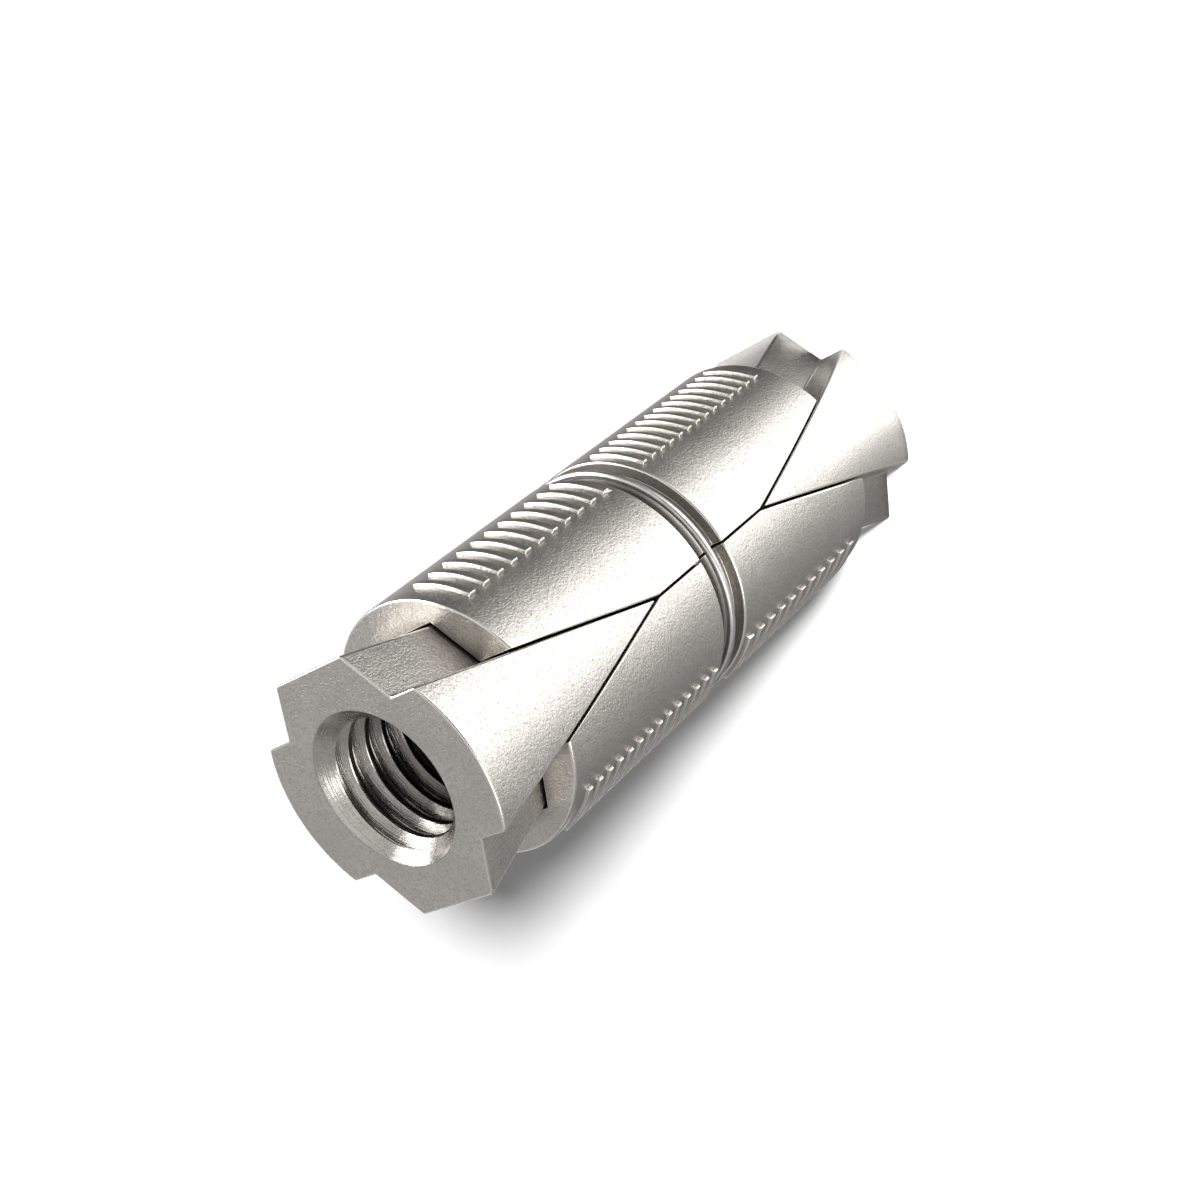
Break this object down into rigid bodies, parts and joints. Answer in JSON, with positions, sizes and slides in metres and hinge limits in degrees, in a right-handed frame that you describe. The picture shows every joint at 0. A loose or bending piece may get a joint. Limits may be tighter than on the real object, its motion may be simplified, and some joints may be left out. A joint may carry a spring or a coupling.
{
  "type": "double expansion anchor",
  "caption": "Cylindrical cast metal expansion anchor for a machine bolt: two half shells round opposed wedge cones, with a wire ring in a groove round the middle.",
  "frame": {"origin": "on the anchor's axis, in the flat outer end of the plain cone, which it stands on", "axes": "+Z along the anchor towards the threaded cone; +X through a seam between the half shells and a fin of each cone; +Y through the middle of half shell a"},
  "size_m": [0.0222, 0.0222, 0.0635],
  "materials": {
    "cast_zinc": "blasted die casting, satin with a fine grain",
    "ring_wire": "drawn wire, satin"
  },
  "bodies": {
    "plain_end": {"plain_cone": "cast_zinc"},
    "threaded_end": {"threaded_cone": "cast_zinc"},
    "shell_a": {"half_shell_a": "cast_zinc"},
    "shell_b": {"half_shell_b": "cast_zinc"},
    "ring": {"retaining_ring": "ring_wire"}
  },
  "joints": [
    {"name": "cone_draw", "type": "slide", "parent": "plain_end", "child": "threaded_end", "axis": [0, 0, -1], "range_m": [0, 0.0022]},
    {"name": "shell_a_spread", "type": "slide", "parent": "plain_end", "child": "shell_a", "axis": [0, 0.2521, -0.9677], "range_m": [0, 0.00114]},
    {"name": "shell_b_spread", "type": "slide", "parent": "plain_end", "child": "shell_b", "axis": [0, -0.2521, -0.9677], "range_m": [0, 0.00114]},
    {"name": "ring_follow", "type": "slide", "parent": "plain_end", "child": "ring", "axis": [0, 0, -1], "range_m": [0, 0.0011]}
  ],
  "couplings": [
    {"joint": "shell_a_spread", "follows": "cone_draw", "ratio": 0.51668},
    {"joint": "shell_b_spread", "follows": "cone_draw", "ratio": 0.51668},
    {"joint": "ring_follow", "follows": "cone_draw", "ratio": 0.5}
  ]
}
